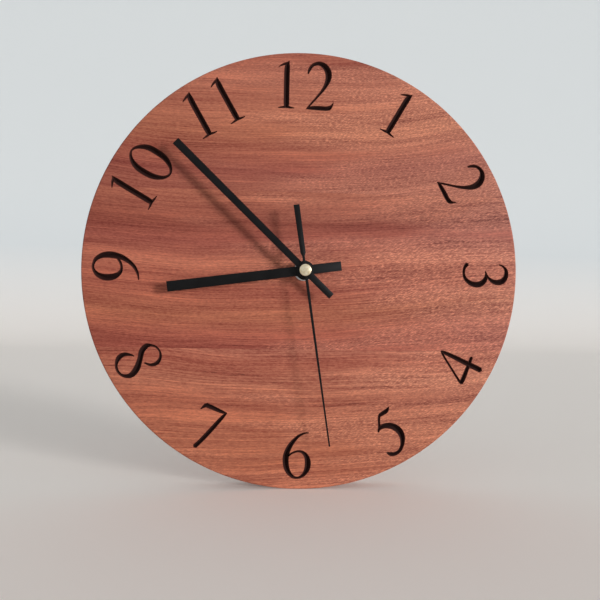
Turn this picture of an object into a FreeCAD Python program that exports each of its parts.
import FreeCAD, Part
import math
import os
import types

import Sketcher

# A round wall clock: a disc glued up from three boards, flat baton hands, and a
# battery movement clamped into a recess behind the dial by a threaded bush and a nut.
# The origin is where the hand axis meets the plane of the wall. +Z points to 12 and
# the dial faces -Y. A height is a distance from the wall, towards the front.
# A bearing is an angle in degrees, clockwise from 12 as seen from the front.

SIZES = {
    # Dial
    "dial_radius": 150,
    "dial_thickness": 20,
    "middle_board_width": 108,
    "edge_ease": 0.9,
    "shaft_hole_radius": 4.25,
    "dial_web": 3.4,
    "recess_clearance": 0.6,
    "wall_gap": 0.2,
    # Hanger
    "hanger_width": 18,
    "hanger_length": 44,
    "hanger_thickness": 1.5,
    "hanger_corner": 4,
    "hanger_clearance": 0.2,
    "entry_radius": 4.75,
    "entry_height": 98,
    "slot_radius": 2.5,
    "slot_travel": 11,
    "pocket_side": 1.8,
    "pocket_depth": 9,
    "hanger_screw_inset": 4.2,
    "screw_head_radius": 3,
    "screw_shank_radius": 1.6,
    "screw_length": 13,
    "screw_sink": 0.1,
    # Case of the movement
    "case_width": 56,
    "case_corner": 3,
    "case_wall": 1.2,
    "case_side": 1.4,
    "cover_thickness": 1.4,
    "cover_ledge": 0.7,
    "cover_clearance": 0.1,
    "partition": 1.4,
    "post_half_width": 1.3,
    "stud_radius": 0.8,
    "bearing_depth": 0.6,
    # Clamping parts on the hand axis
    "rubber_thickness": 0.6,
    "rubber_radius": 9,
    "bush_radius": 4,
    "bush_rise": 4.5,
    "washer_thickness": 0.6,
    "washer_radius": 6.9,
    "washer_play": 0.1,
    "nut_thickness": 2.5,
    "nut_flats": 11.6,
    "nut_sides": 6,
    # Pipes and arbors
    "hour_pipe_radius": 2.5,
    "minute_pipe_radius": 1.5,
    "second_arbor_radius": 0.45,
    "arbor_radius": 0.4,
    "pivot_play": 0.05,
    "pipe_play": 0.07,
    "shoulder_play": 0.1,
    "setting_shaft_radius": 0.9,
    # Layers of the train, from the front
    "motion_play": 0.4,
    "motion_wheel_thickness": 1,
    "wheel_thickness": 0.7,
    "train_play": 0.4,
    "pinion_overlap": 0.15,
    "spring_thickness": 0.4,
    "spring_play": 0.1,
    "plate_thickness": 0.8,
    "magnet_thickness": 1.5,
    "magnet_radius": 2.3,
    "bridge_play": 0.2,
    # Teeth
    "motion_module": 0.45,
    "second_module": 0.288,
    "intermediate_module": 0.275,
    "rotor_module": 0.3,
    "cannon_teeth": 10,
    "minute_wheel_teeth": 30,
    "minute_pinion_teeth": 8,
    "hour_wheel_teeth": 32,
    "setting_teeth": 10,
    "second_pinion_teeth": 6,
    "third_wheel_teeth": 45,
    "third_pinion_teeth": 6,
    "centre_wheel_teeth": 48,
    "second_wheel_teeth": 48,
    "intermediate_pinion_teeth": 8,
    "intermediate_wheel_teeth": 40,
    "rotor_teeth": 8,
    "addendum_share": 0.85,
    "wheel_tip_share": 0.24,
    "wheel_foot_share": 1.08,
    "wheel_depth_share": 2,
    "wheel_disc_share": 1.9,
    "pinion_tip_share": 0.16,
    "pinion_pitch_share": 0.4,
    "pinion_shoulder_share": 0.48,
    "pinion_shoulder_depth_share": 0.95,
    "pinion_foot_share": 1.2,
    "pinion_depth_share": 1.35,
    "pinion_disc_share": 1.3,
    # Bearings of the axes
    "minute_wheel_bearing": 308,
    "setting_bearing": 306,
    "third_bearing": 270,
    "intermediate_bearing": 60,
    "rotor_bearing": 35,
    # Plates and bridge
    "plate_left": 19.5,
    "plate_right": 15.5,
    "plate_top": 15,
    "plate_margin": 0.6,
    "plate_notch_play": 0.8,
    "pillar_half_width": 1.1,
    "pillar_inset": 2,
    "upper_pillar_left": 1.5,
    # Motor
    "stator_thickness": 0.7,
    "stator_arm": 4,
    "stator_left": 5.2,
    "stator_right": 25.4,
    "stator_leg": 3.2,
    "stator_gap": 0.6,
    "coil_height": 21,
    "coil_radius": 3.5,
    "bobbin_half_width": 3.6,
    "bobbin_flange": 0.6,
    "bobbin_wall": 0.6,
    "bobbin_play": 0.3,
    "core_half_width": 1.4,
    "core_thickness": 0.8,
    # Electronics
    "board_half_length": 24.5,
    "board_width": 7,
    "board_thickness": 0.8,
    "crystal_radius": 1,
    "crystal_length": 6,
    "crystal_left": 16,
    "chip_radius": 3,
    "chip_rise": 1,
    "contact_thickness": 0.3,
    "contact_play": 0.1,
    "contact_tab": 4,
    "contact_rise": 5,
    "contact_foot": 1.6,
    "contact_head": 1.8,
    "leaf_half_width": 3,
    "leaf_half_length": 4.2,
    "leaf_half_crest": 1.6,
    # Battery
    "battery_radius": 7,
    "battery_length": 50.5,
    "battery_play": 0.3,
    "button_radius": 2.75,
    "button_length": 1.2,
    "battery_edge": 0.6,
    # Setting knob
    "knob_radius": 5.5,
    "knob_clearance": 0.5,
    "knob_thickness": 2.2,
    "knob_sink": 0.2,
    "knob_ridges": 18,
    "knob_groove": 0.6,
    # Clutch spring
    "spring_radius": 5.4,
    "spring_arms": 3,
    "spring_arm_half_width": 0.8,
    "spring_hub_radius": 2.4,
    # Hands, with heights above the dial face
    "hand_thickness": 0.45,
    "hour_hand_lift": 8.6,
    "hour_hand_length": 92.5,
    "hour_hand_tail": 25,
    "hour_tip_width": 7,
    "hour_tail_width": 6.3,
    "hour_hub_radius": 6.5,
    "hour_collet_wall": 0.9,
    "minute_hand_lift": 10.9,
    "minute_hand_length": 121,
    "minute_hand_tail": 25,
    "minute_tip_width": 5.2,
    "minute_tail_width": 4.5,
    "minute_hub_radius": 5.5,
    "minute_collet_wall": 0.9,
    "second_hand_lift": 13.6,
    "second_hand_thickness": 0.3,
    "second_hand_length": 119,
    "second_hand_tail": 44,
    "second_tip_width": 1,
    "second_waist_width": 2,
    "second_neck_width": 1.7,
    "second_neck_length": 9.3,
    "second_flare_length": 2.1,
    "second_flare_width": 3.6,
    "second_tail_width": 4,
    "second_tube_wall": 0.4,
    "second_hub_radius": 3.2,
    "collet_play": 0.4,
    "cap_radius": 4,
    "cap_edge": 0.7,
    "cap_rise": 1.6,
    "arbor_sink": 0.4,
    "rod_sides": 12,
    # Bearings that the hands show
    "hour_hand_bearing": 262.1,
    "minute_hand_bearing": 313.8,
    "second_hand_bearing": 171.2,
}

os.makedirs("parts", exist_ok=True)
doc = FreeCAD.newDocument("wall_clock")
sheet = doc.addObject("Spreadsheet::Sheet", "sizes")
for row, (alias, number) in enumerate(SIZES.items(), start=1):
    sheet.set(f"A{row}", str(number))
    sheet.setAlias(f"A{row}", alias)
doc.recompute()


class Size:
    """A value together with the expression in sheet aliases that gives it."""

    def __init__(self, value, text):
        self.value = value
        self.text = text

    def __add__(self, other):
        other = sized(other)
        return Size(self.value + other.value, f"({self.text} + {other.text})")

    def __sub__(self, other):
        other = sized(other)
        return Size(self.value - other.value, f"({self.text} - {other.text})")

    def __mul__(self, other):
        other = sized(other)
        return Size(self.value * other.value, f"({self.text} * {other.text})")

    def __truediv__(self, other):
        other = sized(other)
        return Size(self.value / other.value, f"({self.text} / {other.text})")

    def __neg__(self):
        return Size(-self.value, f"(0 - {self.text})")


def sized(value):
    """The value as a Size, where it is a plain number."""
    return value if isinstance(value, Size) else Size(value, repr(value))


def sine(angle):
    return Size(math.sin(math.radians(angle.value)), f"sin({angle.text})")


def cosine(angle):
    return Size(math.cos(math.radians(angle.value)), f"cos({angle.text})")


def across(distance, bearing):
    """How far to the right a step of that distance at that bearing goes."""
    return distance * sine(bearing)


def up(distance, bearing):
    """How far up a step of that distance at that bearing goes."""
    return distance * cosine(bearing)


s = types.SimpleNamespace(**{name: Size(number, f"sizes.{name}") for name, number in SIZES.items()})
ZERO = Size(0, "0")
HALF_TURN = Size(180, "180")
flat_turn = HALF_TURN / s.rod_sides
NEAR = 1e-4
kept = []


def bind(item, place, size):
    item.setExpression(place, size.text)


def keep(item):
    """Marks an object as a finished piece."""
    kept.append(item)
    return item


def origin_feature(body, role):
    return next(item for item in body.Origin.OriginFeatures if item.Role == role)


def new_body(name, x=ZERO, height=ZERO, z=ZERO, bearing=None):
    """A body with its own origin at a place in the clock, turned to a bearing where one is given."""
    body = doc.addObject("PartDesign::Body", name)
    body.Label = name
    if bearing is not None:
        turn = FreeCAD.Rotation(FreeCAD.Vector(0, 1, 0), bearing.value)
        body.Placement = FreeCAD.Placement(FreeCAD.Vector(), turn)
        bind(body, "Placement.Rotation.Angle", bearing)
    bind(body, "Placement.Base.x", x)
    bind(body, "Placement.Base.y", -height)
    bind(body, "Placement.Base.z", z)
    return body


def new_sketch(body, name, height=ZERO, role="XZ_Plane"):
    """A sketch that faces the front at a height, or one in another plane of the body's origin."""
    sketch = body.newObject("Sketcher::SketchObject", f"{body.Name}_{name}")
    sketch.AttachmentSupport = [(origin_feature(body, role), "")]
    sketch.MapMode = "FlatFace"
    bind(sketch, "AttachmentOffset.Base.z", height)
    return sketch


def fix_point(sketch, item, end, x, y):
    """Holds one end or centre of a sketch line or arc at a place."""
    for axis, kind, place in ((-2, "DistanceX", x), (-1, "DistanceY", y)):
        if place is ZERO:
            sketch.addConstraint(Sketcher.Constraint("PointOnObject", item, end, axis))
        else:
            held = Sketcher.Constraint(kind, -1, 1, item, end, place.value)
            index = sketch.addConstraint(held)
            bind(sketch, f"Constraints[{index}]", place)


def fix_radius(sketch, item, radius):
    index = sketch.addConstraint(Sketcher.Constraint("Radius", item, radius.value))
    bind(sketch, f"Constraints[{index}]", radius)


def add_circle(sketch, radius, x=ZERO, y=ZERO):
    centre = FreeCAD.Vector(x.value, y.value, 0)
    item = sketch.addGeometry(Part.Circle(centre, FreeCAD.Vector(0, 0, 1), radius.value))
    fix_point(sketch, item, 3, x, y)
    fix_radius(sketch, item, radius)


def add_polygon(sketch, corners):
    """A closed outline of straight lines, held at each corner."""
    places = [FreeCAD.Vector(x.value, y.value, 0) for x, y in corners]
    lines = [
        sketch.addGeometry(Part.LineSegment(start, end))
        for start, end in zip(places, places[1:] + places[:1])
    ]
    for line, following in zip(lines, lines[1:] + lines[:1]):
        sketch.addConstraint(Sketcher.Constraint("Coincident", line, 2, following, 1))
    for line, (x, y) in zip(lines, corners):
        fix_point(sketch, line, 1, x, y)


def add_block(sketch, left, right, bottom, top):
    add_polygon(sketch, [(left, bottom), (right, bottom), (right, top), (left, top)])


def add_flats(sketch, radius, x=ZERO, y=ZERO):
    """A small round section drawn as flats, with its corners at the radius."""
    turns = [flat_turn * (side * 2 + 1) for side in range(SIZES["rod_sides"])]
    add_polygon(sketch, [(x + across(radius, turn), y + up(radius, turn)) for turn in turns])


def add_slot(sketch, radius, bottom, top):
    """An upright slot with round ends, whose end centres are at bottom and top."""
    normal = FreeCAD.Vector(0, 0, 1)
    half = math.pi
    lower = FreeCAD.Vector(0, bottom.value, 0)
    upper = FreeCAD.Vector(0, top.value, 0)
    side = FreeCAD.Vector(radius.value, 0, 0)
    base = sketch.addGeometry(Part.ArcOfCircle(Part.Circle(lower, normal, radius.value), half, 2 * half))
    right = sketch.addGeometry(Part.LineSegment(lower + side, upper + side))
    crown = sketch.addGeometry(Part.ArcOfCircle(Part.Circle(upper, normal, radius.value), 0, half))
    left = sketch.addGeometry(Part.LineSegment(upper - side, lower - side))
    for item, following in ((base, right), (right, crown), (crown, left), (left, base)):
        sketch.addConstraint(Sketcher.Constraint("Tangent", item, 2, following, 1))
    for arc, place in ((base, bottom), (crown, top)):
        fix_point(sketch, arc, 3, ZERO, place)
        fix_radius(sketch, arc, radius)


def pad(body, name, sketch, length, symmetric=False):
    """Raises a sketch towards its front."""
    feature = body.newObject("PartDesign::Pad", f"{body.Name}_{name}")
    feature.Profile = sketch
    feature.Midplane = symmetric
    bind(feature, "Length", length)
    sketch.Visibility = False
    doc.recompute()
    return feature


def pocket(body, name, sketch, depth):
    """Cuts a sketch's shape from its plane back towards the wall, and makes sure that it cuts."""
    before = body.Shape.Volume
    feature = body.newObject("PartDesign::Pocket", f"{body.Name}_{name}")
    feature.Profile = sketch
    bind(feature, "Length", depth)
    doc.recompute()
    if not body.Shape.Volume < before:
        raise ValueError(f"{feature.Name} cuts nothing")
    return feature


def pad_circle(body, name, radius, low, high, x=ZERO, z=ZERO):
    sketch = new_sketch(body, f"{name}_outline", low)
    add_circle(sketch, radius, x, z)
    return pad(body, name, sketch, high - low)


def pad_rod(body, name, radius, low, high, x=ZERO, z=ZERO):
    """A thin rod whose corners reach its radius, so that it turns freely in a hole of that radius."""
    sketch = new_sketch(body, f"{name}_outline", low)
    add_flats(sketch, radius, x, z)
    return pad(body, name, sketch, high - low)


def pad_block(body, name, left, right, bottom, top, low, high):
    sketch = new_sketch(body, f"{name}_outline", low)
    add_block(sketch, left, right, bottom, top)
    return pad(body, name, sketch, high - low)


def cut_circle(body, name, radius, low, high, x=ZERO, z=ZERO):
    sketch = new_sketch(body, f"{name}_outline", high)
    add_circle(sketch, radius, x, z)
    return pocket(body, name, sketch, high - low)


def cut_rod(body, name, radius, low, high, x=ZERO, z=ZERO):
    """A small hole whose flats lie outside its radius."""
    sketch = new_sketch(body, f"{name}_outline", high)
    add_flats(sketch, radius / cosine(flat_turn), x, z)
    return pocket(body, name, sketch, high - low)


def cut_block(body, name, left, right, bottom, top, low, high):
    sketch = new_sketch(body, f"{name}_outline", high)
    add_block(sketch, left, right, bottom, top)
    return pocket(body, name, sketch, high - low)


def cut_slot(body, name, radius, bottom, top, low, high):
    sketch = new_sketch(body, f"{name}_outline", high)
    add_slot(sketch, radius, bottom, top)
    return pocket(body, name, sketch, high - low)


def revolve(body, name, outline):
    """Turns an outline of radius and height pairs about the body's Y axis."""
    sketch = new_sketch(body, f"{name}_outline", role="XY_Plane")
    add_polygon(sketch, [(radius, height if height is ZERO else -height) for radius, height in outline])
    feature = body.newObject("PartDesign::Revolution", f"{body.Name}_{name}")
    feature.Profile = sketch
    feature.ReferenceAxis = (origin_feature(body, "Y_Axis"), [""])
    feature.Angle = 360
    doc.recompute()
    return feature


def revolve_across(body, name, outline):
    """Turns an outline of place and radius pairs about the body's X axis."""
    sketch = new_sketch(body, f"{name}_outline", role="XY_Plane")
    add_polygon(sketch, outline)
    feature = body.newObject("PartDesign::Revolution", f"{body.Name}_{name}")
    feature.Profile = sketch
    feature.ReferenceAxis = (origin_feature(body, "X_Axis"), [""])
    feature.Angle = 360
    doc.recompute()
    return feature


def polar(body, name, feature, count):
    """Repeats a feature round the body's Y axis."""
    pattern = body.newObject("PartDesign::PolarPattern", f"{body.Name}_{name}")
    pattern.Originals = [feature]
    pattern.Axis = (origin_feature(body, "Y_Axis"), [""])
    pattern.Angle = 360
    bind(pattern, "Occurrences", count)
    body.Tip = pattern
    doc.recompute()
    return pattern


def round_edges(body, name, radius, wanted):
    """Rounds the edges of the body that a test picks."""
    base = body.Tip
    edges = [f"Edge{i}" for i, edge in enumerate(base.Shape.Edges, start=1) if wanted(edge)]
    feature = body.newObject("PartDesign::Fillet", f"{body.Name}_{name}")
    feature.Base = (base, edges)
    bind(feature, "Radius", radius)
    doc.recompute()
    return feature


def bevel_edges(body, name, size, wanted):
    """Bevels the edges of the body that a test picks."""
    base = body.Tip
    edges = [f"Edge{i}" for i, edge in enumerate(base.Shape.Edges, start=1) if wanted(edge)]
    feature = body.newObject("PartDesign::Chamfer", f"{body.Name}_{name}")
    feature.Base = (base, edges)
    bind(feature, "Size", size)
    doc.recompute()
    return feature


def is_rim(radius):
    """A test for full circles of that radius."""
    def wanted(edge):
        return isinstance(edge.Curve, Part.Circle) and abs(edge.Curve.Radius - radius.value) < NEAR
    return wanted


def is_corner(half_width, heights):
    """A test for edges along Y at a block's corners, given as half a width and two places in Z."""
    def wanted(edge):
        start, end = edge.Vertexes[0].Point, edge.Vertexes[-1].Point
        along = math.hypot(start.x - end.x, start.z - end.z) < NEAR < abs(start.y - end.y)
        beside = abs(abs(start.x) - half_width.value) < NEAR
        return along and beside and any(abs(start.z - place.value) < NEAR for place in heights)
    return wanted


def pitch_radius(teeth, module):
    return teeth * module / 2


def add_teeth(body, name, teeth, low, high, disc_radius, flank):
    """A gear: a disc, one tooth on it at the top, and that tooth repeated all round.

    The flank lists, from the tooth's foot to its tip, a radius and half the tooth's
    width there as a share of half the pitch.
    """
    pad_circle(body, f"{name}_disc", disc_radius, low, high)
    half_pitch = HALF_TURN / teeth
    side = [(across(radius, half_pitch * share), up(radius, half_pitch * share)) for radius, share in flank]
    sketch = new_sketch(body, f"{name}_tooth_outline", low)
    add_polygon(sketch, side + [(-x, y) for x, y in reversed(side)])
    tooth = pad(body, f"{name}_tooth", sketch, high - low)
    polar(body, f"{name}_teeth", tooth, teeth)


def add_wheel_teeth(body, name, teeth, module, low, high):
    """Teeth whose feet meet, so that each gap is a plain V."""
    pitch = pitch_radius(teeth, module)
    foot = pitch - module * s.wheel_depth_share
    tip = pitch + module * s.addendum_share
    flank = [(foot, s.wheel_foot_share), (tip, s.wheel_tip_share)]
    add_teeth(body, name, teeth, low, high, pitch - module * s.wheel_disc_share, flank)


def add_pinion_teeth(body, name, teeth, module, low, high):
    """Leaves that are slimmer than their gaps, with feet that meet in a V."""
    pitch = pitch_radius(teeth, module)
    foot = pitch - module * s.pinion_depth_share
    tip = pitch + module * s.addendum_share
    shoulder = pitch - module * s.pinion_shoulder_depth_share
    flank = [
        (foot, s.pinion_foot_share),
        (shoulder, s.pinion_shoulder_share),
        (pitch, s.pinion_pitch_share),
        (tip, s.pinion_tip_share),
    ]
    add_teeth(body, name, teeth, low, high, pitch - module * s.pinion_disc_share, flank)


def meshed(bearing, driver_teeth, driver_bearing, teeth):
    """The bearing of a gear's first tooth when it meshes with a driver that lies behind it.

    The bearing given first is the direction from the driver's axis to the gear's axis.
    """
    turned = (driver_bearing - bearing) * driver_teeth / teeth
    return bearing + HALF_TURN + HALF_TURN / teeth - turned


# Heights of the layers from the wall
dial_face = s.dial_thickness
recess_floor = s.dial_thickness - s.dial_web
case_front = recess_floor - s.rubber_thickness
case_back = s.wall_gap
case_floor = case_front - s.case_wall
cover_inside = case_back + s.cover_thickness
hour_wheel_front = case_floor - s.motion_play
hour_wheel_back = hour_wheel_front - s.motion_wheel_thickness
minute_wheel_front = hour_wheel_back - s.motion_play
minute_wheel_back = minute_wheel_front - s.motion_wheel_thickness
cannon_back = minute_wheel_back - s.pinion_overlap
spring_front = cannon_back
spring_back = spring_front - s.spring_thickness
centre_wheel_front = spring_back - s.spring_play
centre_wheel_back = centre_wheel_front - s.wheel_thickness
third_pinion_back = centre_wheel_back - s.pinion_overlap - s.pinion_overlap
middle_plate_front = third_pinion_back - s.bridge_play
middle_plate_back = middle_plate_front - s.plate_thickness
fast_wheel_front = middle_plate_back - s.train_play
fast_wheel_back = fast_wheel_front - s.wheel_thickness
second_wheel_front = fast_wheel_back - s.train_play
second_wheel_back = second_wheel_front - s.wheel_thickness
magnet_front = second_wheel_front
magnet_back = magnet_front - s.magnet_thickness
bridge_front = magnet_back - s.bridge_play
bridge_back = bridge_front - s.plate_thickness
board_back = bridge_back - s.board_thickness

# Places of the axes
third_distance = (s.second_pinion_teeth + s.third_wheel_teeth) * s.second_module / 2
third_x = across(third_distance, s.third_bearing)
third_z = up(third_distance, s.third_bearing)
centre_module = third_distance * 2 / (s.third_pinion_teeth + s.centre_wheel_teeth)
intermediate_distance = (s.second_wheel_teeth + s.intermediate_pinion_teeth) * s.intermediate_module / 2
intermediate_x = across(intermediate_distance, s.intermediate_bearing)
intermediate_z = up(intermediate_distance, s.intermediate_bearing)
rotor_distance = (s.intermediate_wheel_teeth + s.rotor_teeth) * s.rotor_module / 2
rotor_x = intermediate_x + across(rotor_distance, s.rotor_bearing)
rotor_z = intermediate_z + up(rotor_distance, s.rotor_bearing)
motion_distance = (s.cannon_teeth + s.minute_wheel_teeth) * s.motion_module / 2
minute_wheel_x = across(motion_distance, s.minute_wheel_bearing)
minute_wheel_z = up(motion_distance, s.minute_wheel_bearing)
hour_module = motion_distance * 2 / (s.minute_pinion_teeth + s.hour_wheel_teeth)
setting_distance = (s.minute_wheel_teeth + s.setting_teeth) * s.motion_module / 2
setting_x = minute_wheel_x + across(setting_distance, s.setting_bearing)
setting_z = minute_wheel_z + up(setting_distance, s.setting_bearing)

# Layout of the case: the train lies above a partition and the battery below it
case_half = s.case_width / 2
inner_half = case_half - s.case_side
bay_bottom = -inner_half
bay_top = bay_bottom + (s.battery_radius + s.battery_play) * 2 + s.battery_edge
chamber_bottom = bay_top + s.partition
plate_bottom = chamber_bottom + s.plate_margin
battery_z = (bay_bottom + bay_top) / 2
battery_height = case_floor - s.battery_play - s.battery_radius

# Dial: three boards glued edge to edge, turned to a disc and routed from the back
blank = new_body("dial_blank")
pad_circle(blank, "disc", s.dial_radius, ZERO, s.dial_thickness)
bevel_edges(blank, "rim", s.edge_ease, is_rim(s.dial_radius))
recess_half = case_half + s.recess_clearance
cut_block(blank, "recess", -recess_half, recess_half, -recess_half, recess_half, ZERO, recess_floor)
corner_radius = s.case_corner + s.recess_clearance
round_edges(blank, "recess_corners", corner_radius, is_corner(recess_half, (recess_half, -recess_half)))
cut_circle(blank, "shaft_hole", s.shaft_hole_radius, recess_floor, dial_face)
hanger_top = s.entry_height + (s.hanger_length + s.slot_travel) / 2
hanger_bottom = hanger_top - s.hanger_length
seat_half = s.hanger_width / 2 + s.hanger_clearance
seat_top = hanger_top + s.hanger_clearance
seat_bottom = hanger_bottom - s.hanger_clearance
hanger_front = s.wall_gap + s.hanger_thickness
cut_block(blank, "hanger_seat", -seat_half, seat_half, seat_bottom, seat_top, ZERO, hanger_front)
seat_radius = s.hanger_corner + s.hanger_clearance
round_edges(blank, "seat_corners", seat_radius, is_corner(seat_half, (seat_top, seat_bottom)))
pocket_radius = s.entry_radius + s.pocket_side
slot_top = s.entry_height + s.slot_travel
cut_slot(blank, "head_pocket", pocket_radius, s.entry_height, slot_top, hanger_front, s.pocket_depth)

# Hanger screws: two countersunk wood screws, whose own shapes also cut their seats
screw_heights = (s.wall_gap + s.screw_sink, s.wall_gap + s.screw_sink + s.screw_length)
screw_places = {
    "upper": hanger_top - s.hanger_screw_inset,
    "lower": hanger_bottom + s.hanger_screw_inset,
}
screws = keep(doc.addObject("Part::MultiFuse", "hanger_screws"))
screws.Label = "hanger_screws"
for label, place in screw_places.items():
    screw = new_body(f"{label}_screw", z=place)
    base, end = screw_heights
    neck = base + (s.screw_head_radius - s.screw_shank_radius)
    outline = [
        (ZERO, base),
        (s.screw_head_radius, base),
        (s.screw_shank_radius, neck),
        (s.screw_shank_radius, end),
        (ZERO, end),
    ]
    revolve(screw, "turned", outline)
    screws.Shapes = screws.Shapes + [screw]
doc.recompute()

# Hanger plate: a keyhole plate let in flush at the back of the upper board
plate_half = s.hanger_width / 2
plate = new_body("hanger_plate_blank")
pad_block(plate, "sheet", -plate_half, plate_half, hanger_bottom, hanger_top, s.wall_gap, hanger_front)
round_edges(plate, "corners", s.hanger_corner, is_corner(plate_half, (hanger_top, hanger_bottom)))
cut_circle(plate, "entry", s.entry_radius, s.wall_gap, hanger_front, z=s.entry_height)
cut_slot(plate, "slot", s.slot_radius, s.entry_height, slot_top, s.wall_gap, hanger_front)
hanger = keep(doc.addObject("Part::Cut", "hanger_plate"))
hanger.Label = "hanger_plate"
hanger.Base = plate
hanger.Tool = screws

# Boards: the disc is divided at its two glued joints
joint = s.middle_board_width / 2
board_spans = {
    "dial_board_upper": (joint, s.dial_radius),
    "dial_board_middle": (-joint, joint),
    "dial_board_lower": (-s.dial_radius, -joint),
}
for label, (low, high) in board_spans.items():
    slab = doc.addObject("Part::Box", f"{label}_slab")
    bind(slab, "Length", s.dial_radius * 2)
    bind(slab, "Width", s.dial_thickness)
    bind(slab, "Height", high - low)
    bind(slab, "Placement.Base.x", -s.dial_radius)
    bind(slab, "Placement.Base.y", -s.dial_thickness)
    bind(slab, "Placement.Base.z", low)
    board = doc.addObject("Part::Common", f"{label}_blank")
    board.Base = blank
    board.Tool = slab
    drilled = keep(doc.addObject("Part::Cut", label))
    drilled.Label = label
    drilled.Base = board
    drilled.Tool = screws
doc.recompute()

# Front case: a moulded tray with posts, a stud and a bearing for the train
case = keep(new_body("front_case"))
pad_block(case, "shell", -case_half, case_half, -case_half, case_half, case_back, case_front)
round_edges(case, "corners", s.case_corner, is_corner(case_half, (case_half, -case_half)))
cut_block(case, "chamber", -inner_half, inner_half, chamber_bottom, inner_half, case_back, case_floor)
cut_block(case, "battery_bay", -inner_half, inner_half, bay_bottom, bay_top, case_back, case_floor)
ledge_half = inner_half + s.cover_ledge
ledge_bottom = chamber_bottom - s.cover_ledge
cut_block(case, "ledge", -ledge_half, ledge_half, ledge_bottom, ledge_half, case_back, cover_inside)
notch = s.contact_thickness + s.contact_play * 2
notch_floor = battery_height + s.battery_radius - s.contact_head + s.contact_play
notch_span = (bay_top, chamber_bottom, cover_inside, notch_floor)
cut_block(case, "left_notch", -inner_half, notch - inner_half, *notch_span)
cut_block(case, "right_notch", inner_half - notch, inner_half, *notch_span)
pillars = {
    "left_pillar": (s.pillar_inset - s.plate_left, plate_bottom + s.pillar_inset),
    "right_pillar": (s.plate_right - s.pillar_inset, plate_bottom + s.pillar_inset),
    "upper_pillar": (-s.upper_pillar_left, s.plate_top - s.pillar_inset),
}


def pad_post(body, name, half_width, low, high, x, z):
    """A square post round a place."""
    pad_block(body, name, x - half_width, x + half_width, z - half_width, z + half_width, low, high)


for label, (x, z) in pillars.items():
    pad_post(case, label, s.post_half_width, middle_plate_front, case_floor, x, z)
stator_front = (magnet_front + magnet_back + s.stator_thickness) / 2
stator_back = stator_front - s.stator_thickness
legs = {
    "left_leg": (s.stator_left, s.stator_left + s.stator_leg),
    "right_leg": (s.stator_right - s.stator_leg, s.stator_right),
}
for label, (left, right) in legs.items():
    leg_post = (stator_front, case_floor, (left + right) / 2, s.coil_height)
    pad_post(case, f"{label}_post", s.post_half_width, *leg_post)
stud_back = minute_wheel_back - s.bridge_play
pad_rod(case, "minute_wheel_stud", s.stud_radius, stud_back, case_floor, minute_wheel_x, minute_wheel_z)
cut_circle(case, "bush_hole", s.bush_radius, case_floor, case_front)
bearing_bore = s.setting_shaft_radius + s.pivot_play
bearing_top = case_floor + s.bearing_depth
cut_rod(case, "setting_bearing", bearing_bore, case_floor, bearing_top, setting_x, setting_z)

# Rear cover: closes the chamber and leaves the battery bay open
cover = keep(new_body("rear_cover"))
cover_half = ledge_half - s.cover_clearance
cover_bottom = ledge_bottom + s.cover_clearance
pad_block(cover, "sheet", -cover_half, cover_half, cover_bottom, cover_half, case_back, cover_inside)
knob_hole = s.knob_radius + s.knob_clearance
cut_circle(cover, "knob_hole", knob_hole, case_back, cover_inside, setting_x, setting_z)

# Threaded bush, rubber washer, face washer and nut: they clamp the movement to the dial
bush_top = dial_face + s.bush_rise
bush = keep(new_body("threaded_bush"))
pad_circle(bush, "stem", s.bush_radius, case_floor, bush_top)
cut_circle(bush, "bore", s.hour_pipe_radius + s.pipe_play, case_floor, bush_top)
washer_bore = s.bush_radius + s.washer_play
rubber = keep(new_body("rubber_washer"))
pad_circle(rubber, "sheet", s.rubber_radius, case_front, recess_floor)
cut_circle(rubber, "bore", washer_bore, case_front, recess_floor)
washer_top = dial_face + s.washer_thickness
washer = keep(new_body("face_washer"))
pad_circle(washer, "sheet", s.washer_radius, dial_face, washer_top)
cut_circle(washer, "bore", washer_bore, dial_face, washer_top)
nut_top = washer_top + s.nut_thickness
nut = keep(new_body("fixing_nut"))
nut_corner = s.nut_flats / 2 / cosine(HALF_TURN / s.nut_sides)
nut_sketch = new_sketch(nut, "hexagon", washer_top)
corner_bearings = [HALF_TURN * 2 / s.nut_sides * corner for corner in range(SIZES["nut_sides"])]
add_polygon(nut_sketch, [(across(nut_corner, turn), up(nut_corner, turn)) for turn in corner_bearings])
pad(nut, "block", nut_sketch, s.nut_thickness)
cut_circle(nut, "bore", s.bush_radius, washer_top, nut_top)

# Plates: the middle plate with its pillars, and the train bridge behind it
arbor_bore = s.arbor_radius + s.pivot_play
notch_side = setting_x + s.setting_shaft_radius + s.plate_notch_play
notch_foot = setting_z - s.setting_shaft_radius - s.plate_notch_play
plate_corners = [
    (-s.plate_left, plate_bottom),
    (s.plate_right, plate_bottom),
    (s.plate_right, s.plate_top),
    (notch_side, s.plate_top),
    (notch_side, notch_foot),
    (-s.plate_left, notch_foot),
]
pivot_holes = {
    "second_hole": (s.second_arbor_radius + s.pivot_play, ZERO, ZERO),
    "third_hole": (arbor_bore, third_x, third_z),
    "intermediate_hole": (arbor_bore, intermediate_x, intermediate_z),
    "rotor_hole": (arbor_bore, rotor_x, rotor_z),
}


def add_plate(name, low, high):
    """A plate with a notch at the upper left for the setting shaft, and a hole at each arbor."""
    sheet_body = keep(new_body(name))
    outline = new_sketch(sheet_body, "sheet_outline", low)
    add_polygon(outline, plate_corners)
    pad(sheet_body, "sheet", outline, high - low)
    for label, (radius, x, z) in pivot_holes.items():
        cut_rod(sheet_body, label, radius, low, high, x, z)
    return sheet_body


middle = add_plate("middle_plate", middle_plate_back, middle_plate_front)
for label, (x, z) in pillars.items():
    pad_post(middle, label, s.pillar_half_width, bridge_front, middle_plate_back, x, z)
bridge = add_plate("train_bridge", bridge_back, bridge_front)
arbor_back = bridge_back + s.pivot_play

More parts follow.
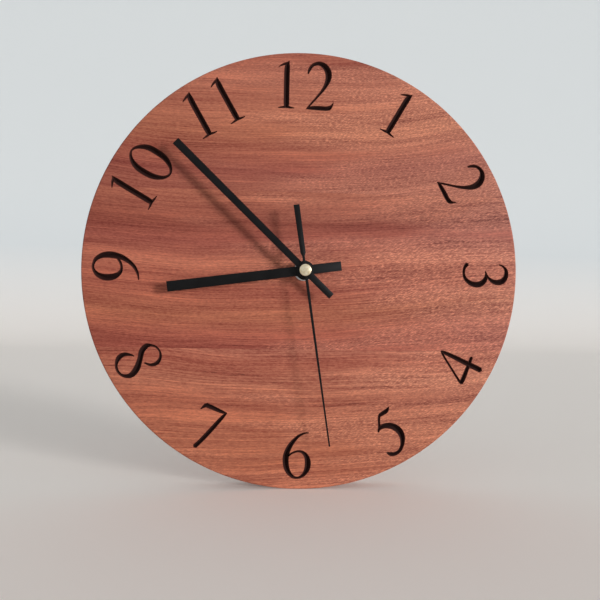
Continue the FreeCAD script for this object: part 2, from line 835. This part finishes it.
# Motor: a stator plate round the rotor's magnet, and a coil on a core across its legs
stator = keep(new_body("stator"))
arm_bottom = rotor_z - s.stator_arm
arm_top = rotor_z + s.stator_arm
leg_top = s.coil_height + s.core_half_width
pad_block(stator, "arm", s.stator_left, s.stator_right, arm_bottom, arm_top, stator_back, stator_front)
for label, (left, right) in legs.items():
    pad_block(stator, label, left, right, arm_top, leg_top, stator_back, stator_front)
cut_circle(stator, "rotor_hole", s.magnet_radius + s.stator_gap, stator_back, stator_front, rotor_x, rotor_z)
core_height = stator_back - s.core_thickness / 2
core = keep(new_body("coil_core"))
core_bottom = s.coil_height - s.core_half_width
core_sides = (s.stator_left, s.stator_right, core_bottom, leg_top)
pad_block(core, "strip", *core_sides, stator_back - s.core_thickness, stator_back)
bobbin_left = s.stator_left + s.stator_leg + s.bobbin_play
bobbin_right = s.stator_right - s.stator_leg - s.bobbin_play
tube_half = s.core_half_width + s.bobbin_wall
spool = new_body("bobbin_blank", height=core_height, z=s.coil_height)
tube_sides = (-tube_half, tube_half, -tube_half, tube_half)
pad_block(spool, "tube", bobbin_left, bobbin_right, *tube_sides)
flange_sides = (-s.bobbin_half_width, s.bobbin_half_width, -s.bobbin_half_width, s.bobbin_half_width)
flange_spans = {
    "left_flange": (bobbin_left, bobbin_left + s.bobbin_flange),
    "right_flange": (bobbin_right - s.bobbin_flange, bobbin_right),
}
for label, (left, right) in flange_spans.items():
    pad_block(spool, label, left, right, *flange_sides)
bobbin = keep(doc.addObject("Part::Cut", "coil_bobbin"))
bobbin.Label = "coil_bobbin"
bobbin.Base = spool
bobbin.Tool = core
wound = new_body("winding_blank", height=core_height, z=s.coil_height)
winding_outline = [
    (bobbin_left + s.bobbin_flange, ZERO),
    (bobbin_left + s.bobbin_flange, s.coil_radius),
    (bobbin_right - s.bobbin_flange, s.coil_radius),
    (bobbin_right - s.bobbin_flange, ZERO),
]
revolve_across(wound, "turned", winding_outline)
winding = keep(doc.addObject("Part::Cut", "coil_winding"))
winding.Label = "coil_winding"
winding.Base = wound
winding.Tool = spool

# Circuit board with its quartz crystal and moulded chip
board_top = plate_bottom + s.board_width
board_middle = plate_bottom + s.board_width / 2
circuit = keep(new_body("circuit_board"))
board_edges = (-s.board_half_length, s.board_half_length, plate_bottom, board_top)
pad_block(circuit, "sheet", *board_edges, board_back, bridge_back)
crystal = keep(new_body("quartz_crystal", height=board_back - s.crystal_radius, z=board_middle))
can_left = -s.crystal_left
can_right = can_left + s.crystal_length
can_outline = [
    (can_left, ZERO),
    (can_left, s.crystal_radius),
    (can_right, s.crystal_radius),
    (can_right, ZERO),
]
revolve_across(crystal, "can", can_outline)
chip = keep(new_body("ic_chip", z=board_middle))
pad_circle(chip, "cap", s.chip_radius, board_back - s.chip_rise, board_back)

# Battery contacts: folded strips that run from the bay, through the partition, to the board
contact_outer = inner_half - s.contact_play
contact_inner = contact_outer - s.contact_thickness
contact_front = battery_height + s.battery_radius - s.contact_head
contact_back = board_back - s.contact_thickness
strip_bottom = bay_bottom + s.contact_foot
strip_top = chamber_bottom + s.contact_rise
crest = s.battery_length / 2 + s.contact_play


def add_contact(name, side):
    """One contact, on the right for a side of 1 and on the left for a side of -1."""
    contact = keep(new_body(name, z=battery_z))
    outer, inner = contact_outer * side, contact_inner * side
    bottom, top = strip_bottom - battery_z, strip_top - battery_z
    pad_block(contact, "strip", inner, outer, bottom, top, contact_back, contact_front)
    tab_end = (contact_inner - s.contact_tab) * side
    pad_block(contact, "tab", tab_end, outer, plate_bottom - battery_z, top, contact_back, board_back)
    near, far = crest * side, (crest + s.contact_thickness) * side
    low_end, low_bend = battery_height - s.leaf_half_length, battery_height - s.leaf_half_crest
    high_end, high_bend = battery_height + s.leaf_half_length, battery_height + s.leaf_half_crest
    leaf = [
        (inner, low_end),
        (near, low_bend),
        (near, high_bend),
        (inner, high_end),
        (outer, high_end),
        (far, high_bend),
        (far, low_bend),
        (outer, low_end),
    ]
    sketch = new_sketch(contact, "leaf_outline", role="XY_Plane")
    add_polygon(sketch, [(x, -height) for x, height in leaf])
    pad(contact, "leaf", sketch, s.leaf_half_width * 2, symmetric=True)


add_contact("positive_contact", 1)
add_contact("negative_contact", -1)

# Battery: an AA cell with its button to the right
cell = keep(new_body("battery", height=battery_height, z=battery_z))
cell_end = s.battery_length / 2
shoulder = cell_end - s.button_length
cell_outline = [
    (-cell_end, ZERO),
    (-cell_end, s.battery_radius),
    (shoulder - s.battery_edge, s.battery_radius),
    (shoulder, s.battery_radius - s.battery_edge),
    (shoulder, s.button_radius),
    (cell_end, s.button_radius),
    (cell_end, ZERO),
]
revolve_across(cell, "can", cell_outline)

# Going train: seconds wheel, intermediate wheel, rotor, third wheel and centre wheel
arbor_front = middle_plate_front - s.pivot_play
second_top = dial_face + s.second_hand_lift + s.second_hand_thickness
arbor_end = second_top + s.cap_rise - s.arbor_sink
seconds = keep(new_body("seconds_wheel"))
pad_rod(seconds, "arbor", s.second_arbor_radius, arbor_back, arbor_end)
fast_layer = (fast_wheel_back - s.pinion_overlap, fast_wheel_front + s.pinion_overlap)
slow_layer = (second_wheel_back - s.pinion_overlap, second_wheel_front + s.pinion_overlap)
add_pinion_teeth(seconds, "pinion", s.second_pinion_teeth, s.second_module, *fast_layer)
second_layer = (second_wheel_back, second_wheel_front)
add_wheel_teeth(seconds, "wheel", s.second_wheel_teeth, s.intermediate_module, *second_layer)

arbor_span = (arbor_back, arbor_front)
wheel_layer = (fast_wheel_back, fast_wheel_front)
second_to_intermediate = (s.second_wheel_teeth, ZERO, s.intermediate_pinion_teeth)
intermediate_turn = meshed(s.intermediate_bearing, *second_to_intermediate)
intermediate_place = {"x": intermediate_x, "z": intermediate_z, "bearing": intermediate_turn}
intermediate = keep(new_body("intermediate_wheel", **intermediate_place))
pad_rod(intermediate, "arbor", s.arbor_radius, *arbor_span)
add_wheel_teeth(intermediate, "wheel", s.intermediate_wheel_teeth, s.rotor_module, *wheel_layer)
intermediate_pinion = (s.intermediate_pinion_teeth, s.intermediate_module)
add_pinion_teeth(intermediate, "pinion", *intermediate_pinion, *slow_layer)

rotor_turn = meshed(s.rotor_bearing, s.intermediate_wheel_teeth, intermediate_turn, s.rotor_teeth)
rotor = keep(new_body("rotor_pinion", rotor_x, z=rotor_z, bearing=rotor_turn))
pad_rod(rotor, "arbor", s.arbor_radius, *arbor_span)
add_pinion_teeth(rotor, "pinion", s.rotor_teeth, s.rotor_module, *fast_layer)
magnet = keep(new_body("rotor_magnet", rotor_x, z=rotor_z))
pad_circle(magnet, "ring", s.magnet_radius, magnet_back, magnet_front)
cut_rod(magnet, "bore", s.arbor_radius, magnet_back, magnet_front)

third_turn = meshed(s.third_bearing, s.second_pinion_teeth, ZERO, s.third_wheel_teeth)
third = keep(new_body("third_wheel", third_x, z=third_z, bearing=third_turn))
third_pinion_front = centre_wheel_front + s.pinion_overlap
pad_rod(third, "arbor", s.arbor_radius, arbor_back, third_pinion_front)
add_wheel_teeth(third, "wheel", s.third_wheel_teeth, s.second_module, *wheel_layer)
third_pinion_layer = (third_pinion_back, third_pinion_front)
add_pinion_teeth(third, "pinion", s.third_pinion_teeth, centre_module, *third_pinion_layer)

back_bearing = s.third_bearing - HALF_TURN
centre_turn = meshed(back_bearing, s.third_pinion_teeth, third_turn, s.centre_wheel_teeth)
centre = keep(new_body("centre_wheel", bearing=centre_turn))
centre_layer = (centre_wheel_back, centre_wheel_front)
add_wheel_teeth(centre, "wheel", s.centre_wheel_teeth, centre_module, *centre_layer)
pipe_bore = s.minute_pipe_radius + s.pipe_play
cut_circle(centre, "bore", pipe_bore, *centre_layer)

# Motion work: clutch spring, minute pipe, minute wheel, hour wheel and setting knob
spring = keep(new_body("clutch_spring"))
pad_circle(spring, "hub", s.spring_hub_radius, spring_back, spring_front)
arm_edges = (-s.spring_arm_half_width, s.spring_arm_half_width, ZERO, s.spring_radius)
arm = pad_block(spring, "arm", *arm_edges, spring_back, spring_front)
polar(spring, "arms", arm, s.spring_arms)
cut_circle(spring, "bore", s.minute_pipe_radius, spring_back, spring_front)

hour_plane = dial_face + s.hour_hand_lift
minute_plane = dial_face + s.minute_hand_lift
second_plane = dial_face + s.second_hand_lift
minute_pipe_back = middle_plate_front + s.bridge_play
minute_pipe_top = minute_plane + s.hand_thickness
minute_pipe = keep(new_body("minute_pipe"))
pad_circle(minute_pipe, "tube", s.minute_pipe_radius, minute_pipe_back, minute_pipe_top)
cannon_layer = (cannon_back, minute_wheel_front + s.pinion_overlap)
add_pinion_teeth(minute_pipe, "cannon", s.cannon_teeth, s.motion_module, *cannon_layer)
second_bore = s.second_arbor_radius + s.pipe_play
cut_rod(minute_pipe, "bore", second_bore, minute_pipe_back, minute_pipe_top)

minute_turn = meshed(s.minute_wheel_bearing, s.cannon_teeth, ZERO, s.minute_wheel_teeth)
minute_wheel = keep(new_body("minute_wheel", minute_wheel_x, z=minute_wheel_z, bearing=minute_turn))
minute_layer = (minute_wheel_back, minute_wheel_front)
add_wheel_teeth(minute_wheel, "wheel", s.minute_wheel_teeth, s.motion_module, *minute_layer)
minute_pinion_layer = (minute_wheel_back, hour_wheel_front + s.pinion_overlap)
add_pinion_teeth(minute_wheel, "pinion", s.minute_pinion_teeth, hour_module, *minute_pinion_layer)
cut_rod(minute_wheel, "bore", s.stud_radius + s.pivot_play, *minute_pinion_layer)

hour_bearing = s.minute_wheel_bearing - HALF_TURN
hour_turn = meshed(hour_bearing, s.minute_pinion_teeth, minute_turn, s.hour_wheel_teeth)
hour_pipe_top = hour_plane + s.hand_thickness
hour_wheel = keep(new_body("hour_wheel", bearing=hour_turn))
pad_circle(hour_wheel, "pipe", s.hour_pipe_radius, hour_wheel_back, hour_pipe_top)
hour_layer = (hour_wheel_back, hour_wheel_front)
add_wheel_teeth(hour_wheel, "wheel", s.hour_wheel_teeth, hour_module, *hour_layer)
cut_circle(hour_wheel, "bore", pipe_bore, hour_wheel_back, hour_pipe_top)

knob_back = case_back + s.knob_sink
knob_front = knob_back + s.knob_thickness
setting_turn = meshed(s.setting_bearing, s.minute_wheel_teeth, minute_turn, s.setting_teeth)
knob = keep(new_body("setting_knob", setting_x, z=setting_z, bearing=setting_turn))
ridged = new_sketch(knob, "ridged_outline", knob_back)
ridge_turn = HALF_TURN / s.knob_ridges
knob_corners = []
for corner in range(SIZES["knob_ridges"]):
    for radius, place in ((s.knob_radius, corner * 2), (s.knob_radius - s.knob_groove, corner * 2 + 1)):
        knob_corners.append((across(radius, ridge_turn * place), up(radius, ridge_turn * place)))
add_polygon(ridged, knob_corners)
pad(knob, "grip", ridged, s.knob_thickness)
pad_rod(knob, "shaft", s.setting_shaft_radius, knob_front, bearing_top - s.shoulder_play)
add_pinion_teeth(knob, "pinion", s.setting_teeth, s.motion_module, *cannon_layer)


def add_hand(name, bearing, half_outline, low, thickness, hub_radius, collet, bore):
    """A flat hand drawn at 12 and turned to its bearing, on a collet or tube that grips its pipe.

    The half outline lists half the width and the distance from the axis, from tail to tip.
    """
    hand = keep(new_body(name, bearing=bearing))
    sketch = new_sketch(hand, "blade_outline", low)
    mirrored = [(-x, y) for x, y in reversed(half_outline)]
    add_polygon(sketch, half_outline + mirrored)
    pad(hand, "blade", sketch, thickness)
    pad_circle(hand, "hub", hub_radius, low, low + thickness)
    collet_radius, collet_low = collet
    pad_circle(hand, "collet", collet_radius, collet_low, low)
    cut_circle(hand, "bore", bore, collet_low, low + thickness)


# Hands: flat sheet batons on collets that grip the pipes
hour_blade = [
    (s.hour_tail_width / 2, -s.hour_hand_tail),
    (s.hour_tip_width / 2, s.hour_hand_length),
]
hour_collet = (s.hour_pipe_radius + s.hour_collet_wall, bush_top + s.collet_play)
hour_rest = (s.hour_hand_bearing, hour_blade, hour_plane, s.hand_thickness)
add_hand("hour_hand", *hour_rest, s.hour_hub_radius, hour_collet, s.hour_pipe_radius)
minute_blade = [
    (s.minute_tail_width / 2, -s.minute_hand_tail),
    (s.minute_tip_width / 2, s.minute_hand_length),
]
minute_collet = (s.minute_pipe_radius + s.minute_collet_wall, hour_pipe_top + s.collet_play)
minute_rest = (s.minute_hand_bearing, minute_blade, minute_plane, s.hand_thickness)
add_hand("minute_hand", *minute_rest, s.minute_hub_radius, minute_collet, s.minute_pipe_radius)
second_blade = [
    (s.second_tail_width / 2, -s.second_hand_tail),
    (s.second_flare_width / 2, -s.second_neck_length - s.second_flare_length),
    (s.second_neck_width / 2, -s.second_neck_length),
    (s.second_waist_width / 2, ZERO),
    (s.second_tip_width / 2, s.second_hand_length),
]
tube_top = minute_pipe_top + s.collet_play
second_tube = (s.second_arbor_radius + s.second_tube_wall, tube_top)
second_rest = (s.second_hand_bearing, second_blade, second_plane, s.second_hand_thickness)
add_hand("second_hand", *second_rest, s.second_hub_radius, second_tube, s.second_arbor_radius)

# Cap: a turned brass button that covers the end of the seconds arbor
cap = keep(new_body("second_hand_cap"))
cap_top = second_top + s.cap_rise
cap_outline = [
    (ZERO, second_top),
    (s.cap_radius, second_top),
    (s.cap_radius, cap_top - s.cap_edge),
    (s.cap_radius - s.cap_edge, cap_top),
    (ZERO, cap_top),
]
revolve(cap, "turned", cap_outline)
hole = new_sketch(cap, "arbor_hole_outline", arbor_end)
add_flats(hole, s.second_arbor_radius)
pocket(cap, "arbor_hole", hole, arbor_end - second_top)

# Every object must be sound before any piece is written
doc.recompute()
failed = [item.Name for item in doc.Objects if {"Invalid", "Error"} & set(item.State)]
for piece in kept:
    if piece.Shape.isNull() or not piece.Shape.isValid() or not piece.Shape.Solids:
        failed.append(piece.Label)
if failed:
    raise ValueError(f"objects that failed: {sorted(set(failed))}")
for piece in kept:
    piece.Shape.exportStep(os.path.join("parts", f"{piece.Label}.step"))
    print(piece.Label, len(piece.Shape.Solids), round(piece.Shape.Volume, 1))
